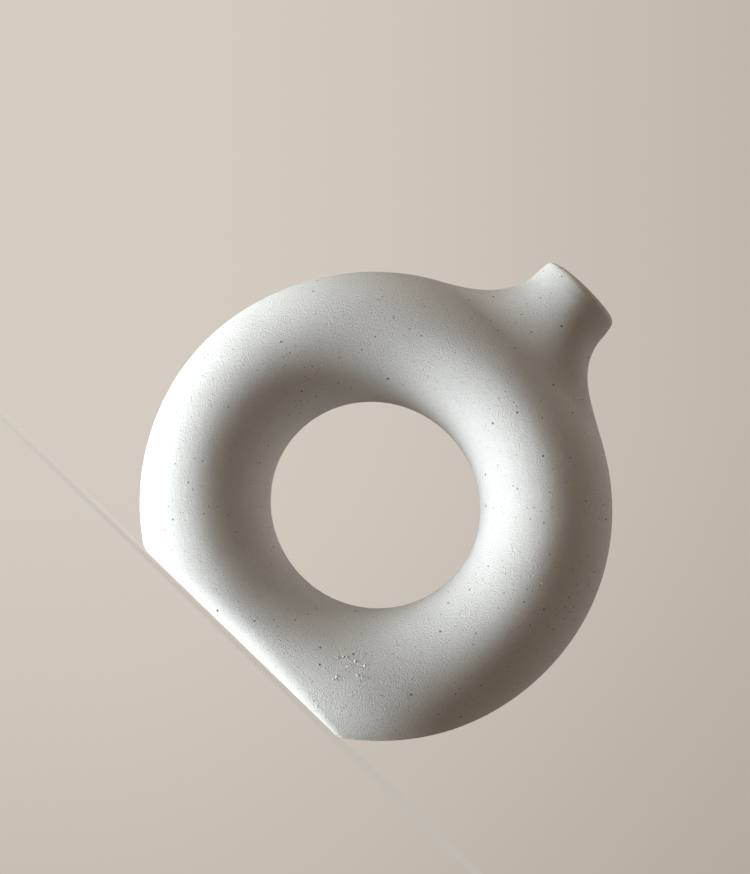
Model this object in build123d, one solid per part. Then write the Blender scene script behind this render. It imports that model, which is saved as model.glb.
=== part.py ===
from build123d import *
import os

# Donut vase: an upright hollow stoneware ring with a flat foot cut across its
# lowest stretch and a short round neck flowing out of its top. Millimetres,
# +Z up, the hole runs along Y, and the origin is the middle of the foot.

# Ring tube, measured on its centreline, which is a little wider than high
centreline_half_width = 72.1
centreline_half_height = 69.9
tube_half_thickness = 27.3
tube_half_depth = 28.0

# Neck, from the ring's outermost line up to the lip
neck_height = 27.4
neck_outer_radius = 18.9
neck_blend_radius = 35.0
lip_edge_radius = 2.4
lip_land_height = 1.0

# Layers of the wall, from the outside in
coat_thickness = 0.6
clay_wall = 4.0
liner_thickness = 0.4
coat_lap_in_mouth = 6.0

# Foot, a level cut through the ring's lowest stretch, which the coat leaves bare
foot_cut_depth = 17.1
foot_edge_radius = 8.4
bare_foot_height = 0.6

# Corner round the floor inside
floor_corner_radius = 5.0

# A form that cuts the mouth open runs past the rim by this much
overrun = 5.0

# Two roundings on one rim each take at most this share of its width, and one
# round a floor this share of the height from there to the middle of the tube
lip_round_share = 0.49
floor_round_share = 0.9

# Each surface of the wall lies this far inside the outermost one
clay_inset = coat_thickness
mid_clay_inset = clay_inset + clay_wall / 2
lining_inset = clay_inset + clay_wall
water_inset = lining_inset + liner_thickness

ring_outer_half_width = centreline_half_width + tube_half_thickness
ring_outer_half_height = centreline_half_height + tube_half_thickness
ring_centre_height = ring_outer_half_height - foot_cut_depth
tube_middle_height = ring_centre_height - centreline_half_height
neck_rise = ring_outer_half_height + neck_height
vase_height = ring_centre_height + neck_rise


def half_tube(inset):
    """The +X half of the ring: an oval section carried along half of the oval centreline."""
    path = Edge.make_ellipse(
        centreline_half_width,
        centreline_half_height,
        plane=Plane.XZ,
        start_angle=-90,
        end_angle=90,
    )
    start = Plane(origin=path @ 0, x_dir=(0, 1, 0), z_dir=path % 0)
    section = start * Ellipse(tube_half_depth - inset, tube_half_thickness - inset)
    return sweep(section, path=path)


def blend_radius(inset):
    """Radius of the hollow between neck and ring, which ends below a straight land and the rounded lip."""
    reach_share = (neck_outer_radius + neck_blend_radius) / (ring_outer_half_height + neck_blend_radius)
    widening = ring_outer_half_width - ring_outer_half_height
    landing_radius = ring_outer_half_height + widening * reach_share**2
    straight_rise = neck_rise - lip_edge_radius - lip_land_height
    room = straight_rise**2 - landing_radius**2 + neck_outer_radius**2
    room_radius = room / (2 * (landing_radius - neck_outer_radius))
    return min(neck_blend_radius, room_radius) + inset


def vessel_form(inset, floor_height, top_height):
    """The vase's outer shape shrunk all round by inset, cut level at its floor and its top."""
    half = half_tube(inset)
    ring = half + mirror(half, about=Plane.YZ)
    neck = Pos(0, 0, centreline_half_height) * Cylinder(
        neck_outer_radius - inset,
        top_height - ring_centre_height - centreline_half_height,
        align=(Align.CENTER, Align.CENTER, Align.MIN),
    )
    joined = ring + neck
    meeting_line = new_edges(ring, neck, combined=joined)
    blended = fillet(meeting_line, blend_radius(inset))
    standing = Pos(0, 0, ring_centre_height) * blended
    return split(standing, bisect_by=Plane.XY.offset(floor_height), keep=Keep.TOP)


def level_faces(form):
    """The flat level faces of a form, from the lowest to the highest."""
    return form.faces().filter_by(GeomType.PLANE).filter_by(Axis.Z).sort_by(Axis.Z)


def round_floor(form, wanted_radius, floor_height):
    """Form with the edge of its lowest level face rounded, as far as the tube leaves room."""
    radius = min(wanted_radius, floor_round_share * (tube_middle_height - floor_height))
    return fillet(level_faces(form)[0].edges(), radius)


def round_lip(wall, wanted_radius, rim_width):
    """Wall with the outer and the inner edge of its level rim rounded, as far as the rim is wide enough."""
    radius = min(wanted_radius, lip_round_share * rim_width)
    outer_edge = level_faces(wall)[-1].edges().sort_by(SortBy.LENGTH)[-1]
    wall = fillet(outer_edge, radius)
    inner_edge = level_faces(wall)[-1].edges().sort_by(SortBy.LENGTH)[0]
    return fillet(inner_edge, radius)


def clay_shell():
    """The clay: a flat foot with a rounded edge, the hollow ring and the open neck."""
    rim_height = vase_height - coat_thickness
    outside = round_floor(vessel_form(clay_inset, 0, rim_height), foot_edge_radius, 0)
    cavity = vessel_form(lining_inset, clay_wall, rim_height + overrun)
    cavity = round_floor(cavity, floor_corner_radius + liner_thickness, clay_wall)
    return round_lip(outside - cavity, lip_edge_radius - coat_thickness, clay_wall)


def finished_wall():
    """Coat, clay and lining as one wall, from the coat's lower edge up to the lip."""
    dipped_foot = vessel_form(0, -coat_thickness, vase_height)
    outside = round_floor(dipped_foot, foot_edge_radius + coat_thickness, -coat_thickness)
    outside = split(outside, bisect_by=Plane.XY.offset(bare_foot_height), keep=Keep.TOP)
    water_floor = clay_wall + liner_thickness
    cavity = vessel_form(water_inset, water_floor, vase_height + overrun)
    cavity = round_floor(cavity, floor_corner_radius, water_floor)
    return round_lip(outside - cavity, lip_edge_radius, water_inset)


def part_skins(skins):
    """The two layers on the clay, parted in the mouth where the coat's lap meets the lining."""
    lap_height = vase_height - coat_lap_in_mouth
    disc = Pos(0, 0, lap_height) * Circle(neck_outer_radius - mid_clay_inset)
    layers = split(skins, bisect_by=disc.face(), keep=Keep.ALL)
    return layers.solids().sort_by(SortBy.VOLUME)


clay = clay_shell()
lining, coat = part_skins(finished_wall() - clay)

os.makedirs("parts", exist_ok=True)
nodes = {"stoneware_body": clay, "liner_glaze": lining, "sand_coat": coat}
for name, solid in nodes.items():
    solid.label = name
    export_step(solid, f"parts/{name}.step")
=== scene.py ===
"""A matte, sandy stoneware donut vase. Its clay shell, glassy lining and speckled coat are made as
worked-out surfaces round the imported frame."""
import math

import bpy
import numpy as np
from mathutils import Matrix, Vector


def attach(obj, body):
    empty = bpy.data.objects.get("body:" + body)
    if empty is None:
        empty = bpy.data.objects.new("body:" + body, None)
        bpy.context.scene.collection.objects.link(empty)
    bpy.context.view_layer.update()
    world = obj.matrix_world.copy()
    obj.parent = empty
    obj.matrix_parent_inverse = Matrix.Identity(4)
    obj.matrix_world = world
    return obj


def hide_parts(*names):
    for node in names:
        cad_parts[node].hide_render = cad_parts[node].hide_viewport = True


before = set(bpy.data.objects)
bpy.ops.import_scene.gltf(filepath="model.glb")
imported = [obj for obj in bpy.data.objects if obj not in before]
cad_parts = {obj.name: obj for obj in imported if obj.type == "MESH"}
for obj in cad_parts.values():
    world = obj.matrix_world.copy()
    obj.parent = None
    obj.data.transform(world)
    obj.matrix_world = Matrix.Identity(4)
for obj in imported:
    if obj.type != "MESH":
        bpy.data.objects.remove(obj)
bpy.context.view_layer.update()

# Sizes in metres
mm = 0.001
ring_centre_height = 80.1 * mm
centreline_half_width = 72.1 * mm
centreline_half_height = 69.9 * mm
wall_half_thickness = 27.3 * mm
wall_half_depth = 28.0 * mm
coat_thickness = 0.6 * mm
clay_wall = 4.0 * mm
lining_thickness = 0.4 * mm

# How far below the outer surface the clay, the lining and the hollow start
clay_depth = coat_thickness
lining_depth = coat_thickness + clay_wall
water_depth = lining_depth + lining_thickness

# Neck and lip, heights above the ring's centre. The neck stands a little to the right, its blend
# runs out further to the right, and sets of three are for the right, the left and the broad faces
neck_radius = 19.3 * mm
neck_offset = 0.77 * mm
neck_start_height = 118.2 * mm
lip_radius = 18.9 * mm
lip_start_heights = (120.6 * mm, 122.3 * mm, 121.0 * mm)
lip_crest_heights = (124.75 * mm, 124.45 * mm, 124.75 * mm)
lip_crest_radius = 16.3 * mm
mouth_radius = 13.9 * mm
mouth_start_height = 122.2 * mm
blend_reach_right, blend_reach_left, blend_reach_deep = 58.5 * mm, 46.6 * mm, 23.5 * mm
blend_low = (21.9 * mm, 9.3 * mm, 9.0 * mm)
blend_high = (21.2 * mm, 19.3 * mm, 15.0 * mm)

# Edge of the coat inside the mouth, above the ring's centre, and its waves: how many go round,
# where they start and their share
coat_end_height = 118.7 * mm
coat_end_waver = 0.3 * mm
coat_end_waves = ((3, 1.0, 1.0), (7, 0.0, 0.5))

# Foot: radii of the corners round it and round the hollow's floor, how much of its corner's turn
# the coat covers, and the heights of the floors inside
coat_foot_radius = 9.0 * mm
clay_foot_radius = 8.4 * mm
cavity_corner_radius = 5.4 * mm
water_corner_radius = cavity_corner_radius - lining_thickness
coat_foot_share = 0.85
cavity_floor = 4.0 * mm
water_floor = 4.4 * mm

# Net of the ring's wall: steps round the ring, steps round its section, and half sizes of the
# windows for neck and foot in steps. Only the coat's outer skin takes every step
ring_steps = 384
section_steps = 128
neck_window = (42, 26)
foot_window = (42, 34)
every_step, every_second_step = 1, 2

# Rows of the surfaces that carry the net on
wall_rows = 12
blend_rows = 48
corner_rows = 16
lip_rows = 9
closing_rows = 6
sharp_edge_angle = math.radians(50)

# Searches by halving: how often, and how far round the ring the one for the landing looks
halvings = 40
widest_landing = 1.2

# Slight unevenness of a hand-finished cast. X, Y and Z are each moved by a sine of two coordinates:
# how fast it runs along the first and the second of them, and where it starts
unevenness = 0.18 * mm
unevenness_wave = 22.0 * mm
unevenness_fade_height = 30.0 * mm
unevenness_sines = ((1.3, 0.8, 0.4), (1.1, 0.9, 2.1), (1.2, 0.7, 4.0))

# Sand grains that stand proud of the coat, with a denser patch low on the front. A grain has a
# ring of points at each rise, in degrees
grain_seed = 80
grain_count = 260
grain_radii = (0.15 * mm, 0.38 * mm)
grain_flatness = 0.8
grain_waver = 0.16
grain_sides = 8
grain_rises = (-45.0, 0.0, 45.0)
grain_patch = np.array([41.3, -28.1, 22.7]) * mm
grain_patch_radius = 9.0 * mm
grain_patch_density = 30.0
grain_patch_growth = 0.5
grain_lowest = 2.0 * mm

# Colours of the materials. A pair is what a slow pattern wanders between
slip_tones = (0.800, 0.800, 0.787, 1), (0.840, 0.840, 0.826, 1)
slip_sand = (0.725, 0.72, 0.70, 1)
brown_speck = (0.25, 0.19, 0.14, 1)
black_speck = (0.055, 0.042, 0.034, 1)
quartz_tones = (0.80, 0.79, 0.765, 1), (0.89, 0.885, 0.87, 1)
clay_tones = (0.60, 0.53, 0.44, 1), (0.68, 0.61, 0.52, 1)
clay_grit = (0.34, 0.26, 0.19, 1)
glaze_tones = (0.70, 0.655, 0.57, 1), (0.77, 0.735, 0.66, 1)
glaze_pin = (0.32, 0.24, 0.17, 1)

# Dots in the sand coat, and offsets that keep its patterns apart
brown_dots = {"spacing": 2.6 * mm, "smallest": 0.30 * mm, "largest": 0.56 * mm,
              "share": 0.45, "softness": 0.4, "faintest": 0.35}
black_dots = {"spacing": 6.5 * mm, "smallest": 0.40 * mm, "largest": 0.68 * mm,
              "share": 0.55, "softness": 0.4, "faintest": 0.6}
sand_dots = {"spacing": 0.85 * mm, "smallest": 0.28 * mm, "largest": 0.55 * mm,
             "share": 0.8, "softness": 1.0, "faintest": 0.2}
fine_offset, crowding_offset = (0.3, 0.1, 0.7), (0.4, 0.2, 0.5)
brown_offset, black_offset, sand_offset = (0.11, 0.42, 0.23), (0.52, 0.07, 0.36), (0.2, 0.6, 0.1)

# How strongly patterns show in a colour, the brown dots more where they crowd, and how high those
# of the sand coat stand
fine_strength = 0.35
brown_strength, brown_crowding_strength = 0.35, 0.55
black_strength = 0.93
grit_strength, pin_strength = 0.5, 0.5
noise_height, sand_height, black_height = 0.42 * mm, 0.24 * mm, -0.10 * mm

# Camera, at the photograph's viewing angle
camera_distance = 1298.0 * mm
camera_turn = math.radians(8.07)
camera_rise = math.radians(-3.4)
camera_roll = math.radians(44.06)
camera_tilt = math.radians(1.235)
camera_lens, camera_sensor_width = 128.37, 36.0
camera_nearest, camera_farthest = 0.01, 50.0

# Backdrop, a ball that glows with painted light, as a lit wall would look. A fade of it is painted
# shade: it has a direction, where it starts and ends as shares of the ball's radius, and what it
# multiplies the colour by
backdrop_radius = 6.0
backdrop_sides, backdrop_rings = 96, 48
wall_lit_colour = (0.662, 0.607, 0.537, 1.0)
wall_far_fade = ((0.717, 0.060, 0.694), -0.106, 0.315, (0.698, 0.681, 0.642, 1.0))
wall_low_fade = ((0.679, 0.161, -0.716), -0.040, 0.280, (0.796, 0.787, 0.779, 1.0))

# Table top. It lies a hair below the foot, so that the two level faces don't fall together, and
# glows a little more on the window's side
floor_level = -0.02 * mm
floor_radius, floor_fade_radius = 0.7, 0.4
floor_sides, floor_rings = 128, 16
floor_colour = (0.200, 0.188, 0.165, 1.0)
floor_far_glow = (0.451, 0.434, 0.395, 1.0)
floor_lit_glow = (0.571, 0.541, 0.488, 1.0)
floor_glow_reach = 0.06

# Lamps: name, direction towards it, degrees that it spans, and strength of its red, green and blue
window_and_walls = (
    ("window_upper", (-0.63, -0.06, -0.77), 20, (1.145, 1.233, 1.272)),
    ("window_front", (-0.71, -0.33, -0.63), 20, (0.362, 0.390, 0.402)),
    ("window_left", (-0.78, -0.20, -0.59), 20, (0.420, 0.452, 0.467)),
    ("window_edge", (-0.86, -0.41, -0.31), 20, (0.112, 0.121, 0.125)),
    ("far_wall", (0.48, 0.55, 0.69), 50, (0.199, 0.175, 0.177)),
    ("near_wall", (-0.68, -0.07, 0.73), 50, (0.154, 0.142, 0.121)),
)
room_colour = (0.152, 0.119, 0.089, 1.0)


# Objects
def add_object(name, data):
    """A new object with this data, linked to the scene."""
    made = bpy.data.objects.new(name, data)
    bpy.context.scene.collection.objects.link(made)
    return made


def add_mesh(name, points, groups):
    """A new mesh object of points and groups of faces, each face a row of point numbers."""
    mesh = bpy.data.meshes.new(name)
    mesh.from_pydata(points, [], [face for group in groups for face in group.tolist()])
    return add_object(name, mesh)


def settle(points):
    """Moves the vessel from the ring's centre to its place above the floor, with the slight
    unevenness of a hand-finished cast: each coordinate gains a slow sine of two coordinates, which
    fades out at the foot so that it stays flat."""
    placed = points + [0.0, 0.0, ring_centre_height]
    x, y, z = placed.T / unevenness_wave
    pairs = (z, y), (x, z), (x, y)
    shift = np.stack([np.sin(fast * first + slow * second + start)
                      for (first, second), (fast, slow, start) in zip(pairs, unevenness_sines)], -1)
    fade = np.clip(placed[:, 2:] / unevenness_fade_height, 0.0, 1.0)
    return placed + unevenness * fade * fade * (3 - 2 * fade) * shift


class Net:
    """Points and faces of one piece, gathered row by row. Faces are turned round where a skin
    looks inwards."""

    def __init__(self):
        self.points, self.faces, self.count = [], [], 0

    def place(self, points):
        """Keeps points and returns their numbers, in the shape of the net that they came in."""
        numbers = self.count + np.arange(points[..., 0].size).reshape(points.shape[:-1])
        self.points.append(points.reshape(-1, 3))
        self.count += numbers.size
        return numbers

    def join(self, faces, outward=True):
        """Keeps faces, given as point numbers that run anticlockwise seen from outside."""
        self.faces.append(faces if outward else faces[:, ::-1])

    def band(self, first, second, outward=True):
        """Four-sided faces between two closed rows of equal length, or three-sided ones to a row
        half as long."""
        after = np.roll(second, -1)
        if len(first) == len(second):
            self.join(np.stack([first, np.roll(first, -1), after, second], -1), outward)
            return
        even, odd, following = first[0::2], first[1::2], np.roll(first[0::2], -1)
        self.join(np.stack([even, odd, second], -1), outward)
        self.join(np.stack([odd, after, second], -1), outward)
        self.join(np.stack([odd, following, after], -1), outward)

    def carry(self, rim, rows, outward=True):
        """Carries the surface on from a closed row of point numbers through new closed rows, and
        returns the last one's numbers."""
        for numbers in self.place(np.asarray(rows)):
            self.band(rim, numbers, outward)
            rim = numbers
        return rim

    def fan(self, rim, tip, outward=True):
        """Three-sided faces from a closed row of point numbers to a new point."""
        number = self.place(tip[None])[0]
        self.join(np.stack([rim, np.roll(rim, -1), np.full_like(rim, number)], -1), outward)

    def close(self, rim, outward=True):
        """Closes a flat oval: the rim drawn in towards the axis in even rows, then a fan to a
        point on it."""
        edge = np.concatenate(self.points)[rim]
        share = np.linspace(1.0, 0.0, closing_rows + 1)[1:-1, None, None]
        last = self.carry(rim, edge * share * [1, 1, 0] + edge * [0, 0, 1], outward)
        self.fan(last, edge.mean(axis=0) * [0, 0, 1], outward)

    def piece(self, name, body, material, slot, *nodes, settled=False):
        """A smooth object of the points that faces use, which rides on a body; the nodes that it
        takes the place of are hidden."""
        corners = np.concatenate([group.ravel() for group in self.faces])
        used, corners = np.unique(corners, return_inverse=True)
        ends = np.cumsum([group.size for group in self.faces])[:-1]
        groups = [part.reshape(-1, group.shape[1])
                  for part, group in zip(np.split(corners, ends), self.faces)]
        points = np.concatenate(self.points)[used]
        made = add_mesh(name, points if settled else settle(points), groups)
        made.data.shade_smooth()
        made.data.set_sharp_from_angle(angle=sharp_edge_angle)
        made.data.materials.append(material)
        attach(made, body)
        if nodes:
            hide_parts(*nodes)


# Shapes, measured from the ring's centre until they settle
def unit(vectors):
    """Vectors divided by their lengths."""
    return vectors / np.linalg.norm(vectors, axis=-1, keepdims=True)


def ring_wall(along, around, depth=0.0):
    """Places on the ring's wall, and its normals there. The centre line is an ellipse: half width
    times the sine of along, half height times its cosine. The section adds half thickness times
    the cosine of around, along the centre line's outward normal, and half depth times its sine
    along Y. Depth is taken off along the wall's own normal."""
    sine, cosine = np.sin(along), np.cos(along)
    line = np.stack([centreline_half_width * sine, 0 * sine, centreline_half_height * cosine], -1)
    outward = unit(np.stack(
        [centreline_half_height * sine, 0 * sine, centreline_half_width * cosine], -1))
    sideways = np.array([0.0, 1.0, 0.0])
    part, side = np.cos(around)[..., None], np.sin(around)[..., None]
    place = line + wall_half_thickness * part * outward + wall_half_depth * side * sideways
    normal = unit(wall_half_depth * part * outward + wall_half_thickness * side * sideways)
    return place - depth * normal, normal


def window_walk(half_long, half_round):
    """Steps round a window's rim, anticlockwise from its middle on the along side, as along steps
    and around steps, and the angle of each, an eighth of a turn for each half side."""
    rise = np.arange(0, half_round)
    run = np.arange(half_long, -half_long, -1)
    fall = np.arange(half_round, -half_round, -1)
    back = np.arange(-half_long, half_long)
    last = np.arange(-half_round, 0)
    along = np.concatenate(
        [0 * rise + half_long, run, 0 * fall - half_long, back, 0 * last + half_long])
    around = np.concatenate([rise, 0 * run + half_round, fall, 0 * back - half_round, last])
    eighth = np.pi / 4
    angle = np.concatenate([
        eighth * rise / half_round,
        eighth * (2 - run / half_long),
        eighth * (4 - fall / half_round),
        eighth * (6 + back / half_long),
        eighth * (8 + last / half_round),
    ])
    return along, around, angle


def by_side(angle, right, left, deep):
    """A value round the neck: deep on both broad faces, and right or left at the sides, joined by
    the square of the angle's cosine."""
    cosine = np.cos(angle)
    side = (right + left) / 2 + (right - left) / 2 * cosine
    return deep + (side - deep) * cosine * cosine


def neck_row(angle, radius, height):
    """A closed level row round the neck's axis at a radius and a height, either of which may
    change with the angle."""
    across = neck_offset + radius * np.cos(angle)
    return np.stack([across, radius * np.sin(angle), height + 0 * angle], -1)


def landing(angle):
    """Along and around values of the oval on top of the ring where the neck's blend lands. X is
    the angle's cosine times a reach that differs from right to left, and Y its sine times the deep
    reach. Along is found by repeated halving."""
    cosine = np.cos(angle)
    middle_reach = (blend_reach_right + blend_reach_left) / 2
    uneven_reach = (blend_reach_right - blend_reach_left) / 2
    wide = (middle_reach + uneven_reach * cosine) * cosine
    around = np.arcsin(blend_reach_deep * np.sin(angle) / wall_half_depth)
    low, high = np.full_like(wide, -widest_landing), np.full_like(wide, widest_landing)
    for _ in range(halvings):
        middle = (low + high) / 2
        beyond = ring_wall(middle, around)[0][..., 0] > wide
        high, low = np.where(beyond, middle, high), np.where(beyond, low, middle)
    return (low + high) / 2, around


def neck_blend(angle, steps):
    """Rows of the blend from ring to neck. Each column is a cubic curve with four guide points:
    the landing point, a pull from it up the steepest way along the wall, a pull straight down from
    the neck's circle, and a point on that circle."""
    start, normal = ring_wall(*landing(angle))
    end = neck_row(angle, neck_radius, neck_start_height)
    upward = np.array([0.0, 0.0, 1.0])
    leave = unit(upward - normal[..., 2:] * normal)
    first = start + by_side(angle, *blend_low)[:, None] * leave
    second = end - by_side(angle, *blend_high)[:, None] * upward
    share = np.linspace(0.0, 1.0, steps + 1)[:, None, None]
    left = 1 - share
    return (left ** 3 * start + 3 * left ** 2 * share * first
            + 3 * left * share ** 2 * second + share ** 3 * end)


def row_normals(rows):
    """Normals of a net of closed rows: the cross product of the step along a row and the step to
    the next row."""
    across = np.roll(rows, -1, axis=1) - np.roll(rows, 1, axis=1)
    return unit(np.cross(across, np.gradient(rows, axis=0)))


def foot_rows(along, around, depth, floor_height, corner_radius, corner_share, detail):
    """Rows from the window at the foot, down the wall to where a corner of the given radius
    touches both wall and floor, found by repeated halving, then round that corner through a share
    of its turn: the corner's centre plus its radius times the turn's cosine outwards and its sine
    downwards. The floor's height is measured from where the vase stands."""
    floor_level_inside = floor_height - ring_centre_height
    low, high = np.zeros_like(along), np.ones_like(along)
    for _ in range(halvings):
        middle = (low + high) / 2
        place, normal = ring_wall(np.pi + along * (1 - middle), around * (1 - middle), depth)
        above = place[..., 2] - floor_level_inside > corner_radius * (1 + normal[..., 2])
        low, high = np.where(above, middle, low), np.where(above, high, middle)
    share = np.linspace(0.0, 1.0, wall_rows // detail + 1)[:, None] * low
    wall, _ = ring_wall(np.pi + along * (1 - share), around * (1 - share), depth)
    touch, normal = ring_wall(np.pi + along * (1 - low), around * (1 - low), depth)
    level = unit(normal * np.array([1.0, 1.0, 0.0]))
    centre = touch - corner_radius * normal
    begin = np.arcsin(-normal[..., 2])
    turned = np.linspace(0.0, corner_share, corner_rows // detail + 1)[1:, None]
    turn = begin + turned * (np.pi / 2 - begin)
    down = np.array([0.0, 0.0, -1.0])
    corner = centre + corner_radius * (np.cos(turn)[..., None] * level
                                       + np.sin(turn)[..., None] * down)
    return np.concatenate([wall, corner])


def wall_skin(net, depth, floor_height, corner_radius, corner_share, detail, outward=True):
    """One skin of the vessel at a depth below its outer surface: the ring's net with a window at
    the neck and one at the foot, rows from the first window up the blend, and rows from the second
    down to the floor's corner. Returns the point numbers of the rims at the neck and the foot."""
    long_count, round_count = ring_steps // detail, section_steps // detail
    long_step, round_step = 2 * np.pi / long_count, 2 * np.pi / round_count
    i, j = np.meshgrid(np.arange(long_count), np.arange(round_count), indexing="ij")
    number = net.place(ring_wall(i * long_step, j * round_step, depth)[0])
    next_long, next_round = np.roll(number, -1, axis=0), np.roll(number, -1, axis=1)
    faces = np.stack([number, next_long, np.roll(next_long, -1, axis=1), next_round], -1)
    rims, shown = [], np.ones(number.shape, bool)
    for window, middle in ((neck_window, 0), (foot_window, long_count // 2)):
        half_long, half_round = window[0] // detail, window[1] // detail
        cut_long = (i - middle + half_long) % long_count < 2 * half_long
        cut_round = (j + half_round) % round_count < 2 * half_round
        shown &= ~(cut_long & cut_round)
        along, around, angle = window_walk(half_long, half_round)
        rim = number[(along + middle) % long_count, around % round_count]
        rims.append((rim, along * long_step, around * round_step, angle))
    net.join(faces[shown], outward)

    rim, along, around, angle = rims[0]
    end_along, end_around = landing(angle)
    share = np.linspace(0.0, 1.0, wall_rows // detail + 1)[1:, None]
    rows, _ = ring_wall(along + share * (end_along - along),
                        around + share * (end_around - around), depth)
    blend = neck_blend(angle, blend_rows // detail)
    normals = row_normals(blend)
    normals[-1] = neck_row(angle, 1.0, 0.0) - neck_row(angle, 0.0, 0.0)
    rows = np.concatenate([rows, (blend - depth * normals)[1:]])
    neck_rim = net.carry(rim, rows, outward)

    rim, along, around, _ = rims[1]
    rows = foot_rows(along, around, depth, floor_height, corner_radius, corner_share, detail)
    return neck_rim, net.carry(rim, rows[1:], outward)


def lip_lines(angle, depth, mouth_depth):
    """Rows over the lip: two quarter ellipses that meet at its crest, up the outside and down into
    the mouth. Their radii and heights go with the cosine and sine of a turn."""
    outside, inside = lip_radius - depth, mouth_radius + water_depth - mouth_depth
    start = by_side(angle, *lip_start_heights)
    crest = by_side(angle, *lip_crest_heights) - depth
    turns = np.linspace(0.0, np.pi / 2, lip_rows + 1)
    rows = []
    for turn in turns:
        radius = lip_crest_radius + (outside - lip_crest_radius) * math.cos(turn)
        rows.append(neck_row(angle, radius, start + (crest - start) * math.sin(turn)))
    for turn in turns[1:]:
        radius = lip_crest_radius - (lip_crest_radius - inside) * math.sin(turn)
        height = mouth_start_height + (crest - mouth_start_height) * math.cos(turn)
        rows.append(neck_row(angle, radius, height))
    return rows


def coat_edge(angle):
    """Height of the coat's edge inside the mouth, as dipping leaves it: one level with two slow
    waves round it, sines of a whole number times the angle."""
    waves = sum(share * np.sin(count * angle + start) for count, start, share in coat_end_waves)
    return coat_end_height + coat_end_waver * waves


# Pieces
def make_coat(material):
    """The sand coat: its outer skin, over the lip and a little way into the mouth, and back along
    the clay. Returns the points and faces of the outer skin, for the grains on it."""
    net = Net()
    neck, foot = wall_skin(net, depth=0.0, floor_height=0.0, corner_radius=coat_foot_radius,
                           corner_share=coat_foot_share, detail=every_step)
    skin = settle(np.concatenate(net.points)), np.concatenate(net.faces)
    angle = window_walk(*neck_window)[2]
    end = neck_row(angle, mouth_radius, coat_edge(angle))
    mouth = net.carry(neck, lip_lines(angle, 0.0, water_depth) + [end])
    inner_neck, inner_foot = wall_skin(
        net, depth=clay_depth, floor_height=0.0, corner_radius=clay_foot_radius,
        corner_share=coat_foot_share, detail=every_second_step, outward=False)
    angle = angle[::every_second_step]
    end = neck_row(angle, mouth_radius + lining_thickness, coat_edge(angle))
    lip = lip_lines(angle, clay_depth, lining_depth)
    net.band(mouth, net.carry(inner_neck, lip + [end], outward=False))
    net.band(foot, inner_foot)
    net.piece("sand_coat_shell", "root", material, "speckled_sand_coat", "sand_coat")
    return skin


def make_clay(material):
    """The clay vessel: outer skin closed at the foot, lip, and inner skin closed at the floor of
    the hollow."""
    net = Net()
    neck, foot = wall_skin(net, depth=clay_depth, floor_height=0.0, corner_radius=clay_foot_radius,
                           corner_share=1.0, detail=every_second_step)
    net.close(foot)
    angle = window_walk(*neck_window)[2][::every_second_step]
    lip = net.carry(neck, lip_lines(angle, clay_depth, lining_depth))
    inner_neck, inner_foot = wall_skin(
        net, depth=lining_depth, floor_height=cavity_floor, corner_radius=cavity_corner_radius,
        corner_share=1.0, detail=every_second_step, outward=False)
    net.close(inner_foot, outward=False)
    net.band(lip, inner_neck)
    net.piece("clay_vessel", "root", material, "bare_clay", "stoneware_body")


def make_lining(material):
    """The glassy lining: a skin on the clay's inside and a skin on the water's side, joined at its
    edge in the mouth."""
    net = Net()
    neck, foot = wall_skin(net, depth=lining_depth, floor_height=cavity_floor,
                           corner_radius=cavity_corner_radius, corner_share=1.0,
                           detail=every_second_step)
    net.close(foot)
    angle = window_walk(*neck_window)[2][::every_second_step]
    edge = net.carry(neck, [neck_row(angle, radius, coat_edge(angle))
                            for radius in (mouth_radius + lining_thickness, mouth_radius)])
    inner_neck, inner_foot = wall_skin(
        net, depth=water_depth, floor_height=water_floor, corner_radius=water_corner_radius,
        corner_share=1.0, detail=every_second_step, outward=False)
    net.close(inner_foot, outward=False)
    net.band(edge, inner_neck)
    net.piece("glassy_lining", "root", material, "clear_liner_glaze", "liner_glaze")


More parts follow.
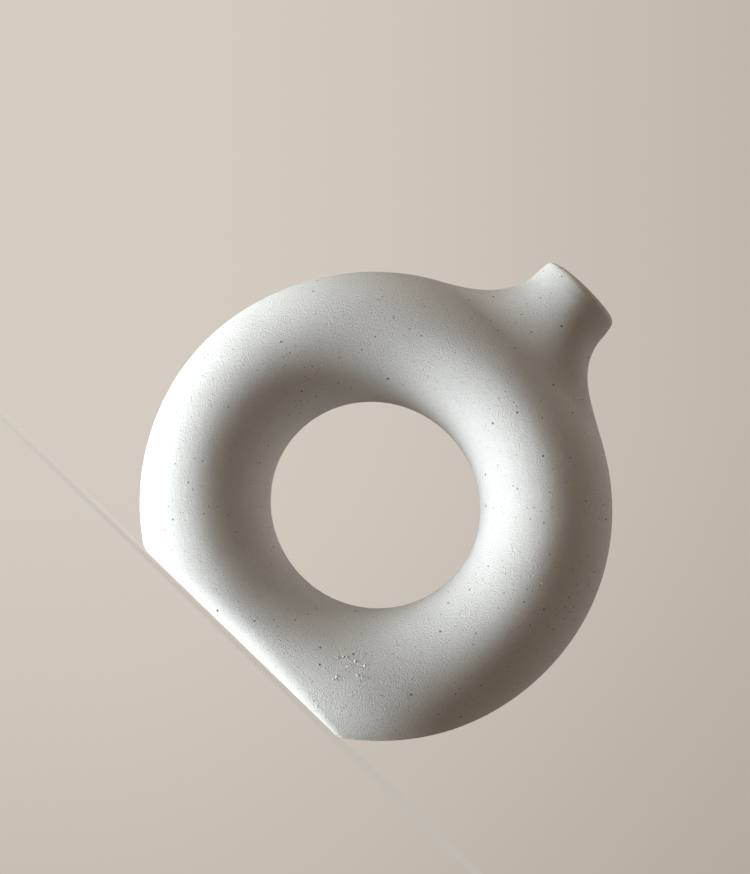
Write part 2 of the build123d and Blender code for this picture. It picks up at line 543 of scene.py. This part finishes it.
def make_grains(skin, material):
    """Sand grains that stand proud of the coat. They are drawn over the outer skin by area, with a
    denser patch, and each is a squashed ball of three rings and two poles, half sunk along the
    skin's normal: its rings' radii and heights are the cosine and sine of their rise, times a
    radius that wavers round the grain."""
    points, faces = skin
    draw = np.random.default_rng(grain_seed)
    a, b, c, d = (points[faces[:, k]] for k in range(4))
    across = np.cross(c - a, d - b)
    weight = np.linalg.norm(across, axis=1)
    middle = (a + b + c + d) / 4
    patch = np.exp(-(np.linalg.norm(middle - grain_patch, axis=1) / grain_patch_radius) ** 2)
    weight *= (1 + grain_patch_density * patch) * (middle[:, 2] > grain_lowest)
    chosen = draw.choice(len(faces), grain_count, p=weight / weight.sum())
    s, t = draw.random((2, grain_count, 1))
    near_side = (1 - t) * a[chosen] + t * d[chosen]
    far_side = (1 - t) * b[chosen] + t * c[chosen]
    place = (1 - s) * near_side + s * far_side
    normal = unit(across[chosen])
    first = unit(np.cross(normal, unit(draw.normal(size=(grain_count, 3)))))
    second = np.cross(normal, first)
    growth = 1 + grain_patch_growth * patch[chosen]
    size = draw.uniform(*grain_radii, (grain_count, 1, 1, 1)) * growth[:, None, None, None]
    turn, rise = np.meshgrid(np.arange(grain_sides) * 2 * np.pi / grain_sides,
                             np.radians(grain_rises))
    waver = draw.uniform(-1, 1, (grain_count, len(grain_rises), grain_sides, 1))
    level = (np.cos(turn)[..., None] * first[:, None, None]
             + np.sin(turn)[..., None] * second[:, None, None])
    upright = np.sin(rise)[..., None] * normal[:, None, None] * grain_flatness
    spread = size * (1 + grain_waver * waver)
    net = Net()
    number = net.place(place[:, None, None] + spread * (np.cos(rise)[..., None] * level + upright))
    for lower, upper in ((0, 1), (1, 2)):
        low_row, high_row = number[:, lower], number[:, upper]
        quads = [low_row, np.roll(low_row, -1, 1), np.roll(high_row, -1, 1), high_row]
        net.join(np.stack(quads, -1).reshape(-1, 4))
    for ring, pole in ((0, -1), (2, 1)):
        tip = net.place(place + pole * grain_flatness * size[:, 0, 0] * normal)[:, None]
        row = number[:, ring]
        fans = np.stack([row, np.roll(row, -1, 1), np.broadcast_to(tip, row.shape)], -1)
        net.join(fans.reshape(-1, 3), pole > 0)
    net.piece("proud_sand_grains", "root", material, "speckled_sand_coat", settled=True)


# Materials
def put(tree, kind, inputs=None, **settings):
    """A node of a kind. Inputs are values, or outputs of other nodes that are linked to it."""
    node = tree.nodes.new("ShaderNode" + kind)
    for name, value in settings.items():
        setattr(node, name, value)
    for name, value in (inputs or {}).items():
        if isinstance(value, bpy.types.NodeSocket):
            tree.links.new(value, node.inputs[name])
        else:
            node.inputs[name].default_value = value
    return node


def sums(tree, kind, *values):
    """The output of a Math node of a kind on its values."""
    return put(tree, "Math", dict(enumerate(values)), operation=kind).outputs[0]


def scaled(tree, value, by):
    """A value times a factor."""
    return sums(tree, "MULTIPLY", value, by)


def shifted(tree, place, offset):
    """Object coordinates moved by an offset, so that two patterns don't fall together."""
    return put(tree, "Mapping", {"Vector": place, "Location": offset}).outputs[0]


def noise(tree, place, size, detail=2.0, roughness=0.5):
    """Soft noise from 0 to 1 whose features are about a size across."""
    inputs = {"Vector": place, "Scale": 1 / size, "Detail": detail, "Roughness": roughness}
    return put(tree, "TexNoise", inputs).outputs["Fac"]


def dots(tree, place, spacing, smallest, largest, share, softness, faintest=1.0):
    """Round dots from 0 outside to 1 inside: cells a spacing apart, of which a share holds a dot
    with a random radius, and a random strength from the faintest to 1."""
    cells = put(tree, "TexVoronoi", {"Vector": place, "Scale": 1 / spacing}, feature="F1")
    draw = put(tree, "SeparateColor", {0: cells.outputs["Color"]})
    radius = sums(tree, "MULTIPLY_ADD", draw.outputs["Green"],
                  (largest - smallest) / spacing, smallest / spacing)
    inner = scaled(tree, radius, by=1 - softness)
    disc = between(tree, cells.outputs["Distance"], low=radius, high=inner)
    disc = scaled(tree, disc, by=sums(tree, "LESS_THAN", draw.outputs["Red"], share))
    strength = sums(tree, "MULTIPLY_ADD", draw.outputs["Blue"], 1 - faintest, faintest)
    return scaled(tree, disc, by=strength)


def blend_colours(tree, factor, first, second, kind="MIX"):
    """Two colours mixed by a factor."""
    inputs = {0: factor, 6: first, 7: second}
    return put(tree, "Mix", inputs, data_type="RGBA", blend_type=kind).outputs[2]


def between(tree, value, low, high):
    """A value spread smoothly so that low gives 0 and high gives 1."""
    inputs = {"Value": value, "From Min": low, "From Max": high}
    return put(tree, "MapRange", inputs, interpolation_type="SMOOTHSTEP").outputs["Result"]


def new_material(name):
    """An empty material, its node tree, its surface shader and its Object coordinates."""
    material = bpy.data.materials.new(name)
    material.use_nodes = True
    tree = material.node_tree
    return material, tree, tree.nodes["Principled BSDF"], put(tree, "TexCoord").outputs["Object"]


def dress(tree, shader, colour, height, inputs):
    """Gives a shader a colour, a height in metres as its relief, and plain inputs."""
    tree.links.new(colour, shader.inputs["Base Color"])
    bump = put(tree, "Bump", {"Height": height, "Distance": 1.0, "Strength": 1.0})
    tree.links.new(bump.outputs["Normal"], shader.inputs["Normal"])
    for name, value in inputs.items():
        shader.inputs[name].default_value = value


def make_sand_coat():
    """Matte off-white slip full of fine sand: slow mottling, two sorts of specks, of which the
    black ones have sunk in a little, and grain."""
    material, tree, shader, place = new_material("matte speckled sand coat")
    mottle = between(tree, noise(tree, place, size=26 * mm, detail=3.0), low=0.35, high=0.65)
    colour = blend_colours(tree, mottle, *slip_tones)
    fine = noise(tree, shifted(tree, place, fine_offset), size=0.9 * mm)
    fine = scaled(tree, between(tree, fine, low=0.3, high=0.7), by=fine_strength)
    colour = blend_colours(tree, fine, colour, slip_sand)
    brown = dots(tree, shifted(tree, place, brown_offset), **brown_dots)
    crowding = noise(tree, shifted(tree, place, crowding_offset), size=20 * mm, detail=1.0)
    crowding = between(tree, crowding, low=0.38, high=0.62)
    strength = sums(tree, "MULTIPLY_ADD", crowding, brown_crowding_strength, brown_strength)
    colour = blend_colours(tree, scaled(tree, brown, by=strength), colour, brown_speck)
    black = dots(tree, shifted(tree, place, black_offset), **black_dots)
    colour = blend_colours(tree, scaled(tree, black, by=black_strength), colour, black_speck)
    grain = noise(tree, place, size=0.60 * mm, detail=3.0, roughness=0.70)
    sand = dots(tree, shifted(tree, place, sand_offset), **sand_dots)
    height = scaled(tree, grain, by=noise_height)
    height = sums(tree, "MULTIPLY_ADD", sand, sand_height, height)
    height = sums(tree, "MULTIPLY_ADD", black, black_height, height)
    dress(tree, shader, colour, height, {"Roughness": 0.88, "Specular IOR Level": 0.25})
    return material


def make_quartz():
    """A pale quartz sand grain under a thin wash of slip: faintly clouded, uneven and a little
    glossy."""
    material, tree, shader, place = new_material("pale sand grain")
    cloud = between(tree, noise(tree, place, size=0.7 * mm), low=0.3, high=0.7)
    colour = blend_colours(tree, cloud, *quartz_tones)
    height = scaled(tree, noise(tree, place, size=0.25 * mm), by=0.04 * mm)
    dress(tree, shader, colour, height, {"Roughness": 0.34, "Specular IOR Level": 0.5})
    return material


def make_bare_clay():
    """Bare fired clay: warm buff, slowly mottled, finely grained and with dark grit."""
    material, tree, shader, place = new_material("bare fired clay")
    mottle = between(tree, noise(tree, place, size=14 * mm, detail=4.0), low=0.3, high=0.7)
    colour = blend_colours(tree, mottle, *clay_tones)
    grit = dots(tree, place, spacing=2.4 * mm, smallest=0.12 * mm, largest=0.35 * mm,
                share=0.5, softness=0.5)
    colour = blend_colours(tree, scaled(tree, grit, by=grit_strength), colour, clay_grit)
    grain = noise(tree, place, size=0.8 * mm, detail=3.0, roughness=0.6)
    height = scaled(tree, grain, by=0.10 * mm)
    dress(tree, shader, colour, height, {"Roughness": 0.92, "Specular IOR Level": 0.2})
    return material


def make_liner():
    """Glassy lining over buff clay: glossy cream with slow pooling of tone, pinholes and a faint
    ripple."""
    material, tree, shader, place = new_material("clear lining glaze")
    pool = between(tree, noise(tree, place, size=12 * mm), low=0.3, high=0.7)
    colour = blend_colours(tree, pool, *glaze_tones)
    pin = dots(tree, place, spacing=3.0 * mm, smallest=0.1 * mm, largest=0.3 * mm,
               share=0.35, softness=0.5)
    colour = blend_colours(tree, scaled(tree, pin, by=pin_strength), colour, glaze_pin)
    height = scaled(tree, noise(tree, place, size=5 * mm), by=0.12 * mm)
    gloss = {"Roughness": 0.14, "Coat Weight": 0.6, "Coat Roughness": 0.05}
    dress(tree, shader, colour, height, gloss)
    return material


# Stage
def add_camera():
    """Camera at a distance from the ring's centre, turned about the upright axis, raised by its
    rise angle, rolled, then tilted up in its own frame."""
    back = Vector((math.sin(camera_turn) * math.cos(camera_rise),
                   -math.cos(camera_turn) * math.cos(camera_rise),
                   math.sin(camera_rise)))
    level = Vector((math.cos(camera_turn), math.sin(camera_turn), 0.0))
    upright = back.cross(level)
    right = level * math.cos(camera_roll) + upright * math.sin(camera_roll)
    up = upright * math.cos(camera_roll) - level * math.sin(camera_roll)
    away = back * math.cos(camera_tilt) - up * math.sin(camera_tilt)
    up = up * math.cos(camera_tilt) + back * math.sin(camera_tilt)
    turned = Matrix((right, up, away)).transposed().to_4x4()
    place = Vector((0.0, 0.0, ring_centre_height)) + back * camera_distance
    camera = add_object("camera", bpy.data.cameras.new("camera"))
    camera.matrix_world = Matrix.Translation(place) @ turned
    camera.data.lens, camera.data.sensor_width = camera_lens, camera_sensor_width
    camera.data.clip_start, camera.data.clip_end = camera_nearest, camera_farthest
    bpy.context.scene.camera = camera


def seen_only(thing):
    """The eye sees the thing, but it neither lights the vase nor shades it."""
    thing.visible_diffuse = False
    thing.visible_glossy = False
    thing.visible_transmission = False
    thing.visible_shadow = False


def make_backdrop():
    """A ball round everything that only the eye sees: its radius times the sine and cosine of the
    turn, times the cosine of the rise, and its radius times the rise's sine. It glows with painted
    light: its lit colour fades twice, as painted shade, to the far side of the room and downwards."""
    turn, rise = np.meshgrid(np.linspace(0, 2 * np.pi, backdrop_sides + 1)[:-1],
                             np.linspace(-np.pi / 2, np.pi / 2, backdrop_rings + 2)[1:-1])
    rows = backdrop_radius * np.stack(
        [np.cos(turn) * np.cos(rise), np.sin(turn) * np.cos(rise), np.sin(rise)], -1)
    net = Net()
    first = net.place(rows[0])
    last = net.carry(first, rows[1:])
    net.fan(first, np.array([0.0, 0.0, -backdrop_radius]), outward=False)
    net.fan(last, np.array([0.0, 0.0, backdrop_radius]))
    backdrop = add_mesh("backdrop", np.concatenate(net.points), net.faces)
    backdrop.data.shade_smooth()
    material, tree, shader, place = new_material("glowing backdrop with painted light falloff")
    tree.nodes.remove(shader)
    colour = wall_lit_colour
    for direction, start, end, shade in (wall_far_fade, wall_low_fade):
        inputs = {0: place, 1: direction}
        along = put(tree, "VectorMath", inputs, operation="DOT_PRODUCT").outputs["Value"]
        fade = between(tree, along, start * backdrop_radius, end * backdrop_radius)
        shaded = blend_colours(tree, 1.0, colour, shade, "MULTIPLY")
        colour = blend_colours(tree, fade, colour, shaded)
    # The ball glows, no lamp: its colour is the painted light and painted shade of a lit wall
    glow = put(tree, "Emission", {"Color": colour})
    tree.links.new(glow.outputs[0], tree.nodes["Material Output"].inputs["Surface"])
    backdrop.data.materials.append(material)
    seen_only(backdrop)


def make_floor():
    """A round pale table top, in level rows whose X and Y are a radius times the cosine and sine
    of the turn. Its edge fades out so that no line shows behind the vase."""
    turn = np.linspace(0, 2 * np.pi, floor_sides + 1)[:-1]
    radii = np.linspace(0, 1, floor_rings + 1)[:0:-1, None] * floor_radius
    level = np.full((floor_rings, floor_sides), floor_level)
    rows = np.stack([radii * np.cos(turn), radii * np.sin(turn), level], -1)
    net = Net()
    last = net.carry(net.place(rows[0]), rows[1:])
    net.fan(last, np.array([0.0, 0.0, floor_level]))
    floor = add_mesh("table_top", np.concatenate(net.points), net.faces)
    material, tree, shader, place = new_material("pale table top")
    shader.inputs["Base Color"].default_value = floor_colour
    shader.inputs["Roughness"].default_value = 0.9
    shader.inputs["Specular IOR Level"].default_value = 0.0
    shader.inputs["Emission Strength"].default_value = 1.0
    across = put(tree, "SeparateXYZ", {0: place}).outputs["X"]
    lit = between(tree, across, low=floor_glow_reach, high=-floor_glow_reach)
    glow = blend_colours(tree, lit, floor_far_glow, floor_lit_glow)
    tree.links.new(glow, shader.inputs["Emission Color"])
    length = put(tree, "VectorMath", {0: place}, operation="LENGTH").outputs["Value"]
    shown = between(tree, length, low=floor_radius, high=floor_fade_radius)
    tree.links.new(shown, shader.inputs["Alpha"])
    floor.data.materials.append(material)
    seen_only(floor)


def add_sun(name, towards, spread, strengths):
    """A distant lamp, in the direction towards it, that spans an angle in degrees. Its strengths
    are the red, green and blue that a white surface facing it gives back."""
    strongest = max(strengths)
    lamp = bpy.data.lights.new(name, "SUN")
    lamp.energy, lamp.angle = math.pi * strongest, math.radians(spread)
    lamp.color = [part / strongest for part in strengths]
    made = add_object(name, lamp)
    made.rotation_mode = "QUATERNION"
    made.rotation_quaternion = Vector(towards).to_track_quat("Z", "Y")


def make_room():
    """The dim, warm light of the room from all sides."""
    world = bpy.data.worlds.new("room")
    world.use_nodes = True
    world.node_tree.nodes["Background"].inputs["Color"].default_value = room_colour
    bpy.context.scene.world = world


add_camera()
coat_skin = make_coat(make_sand_coat())
make_clay(make_bare_clay())
make_lining(make_liner())
make_grains(coat_skin, make_quartz())

bpy.context.scene.view_settings.view_transform = "Standard"
make_backdrop()
make_floor()
for lamp in window_and_walls:
    add_sun(*lamp)
make_room()
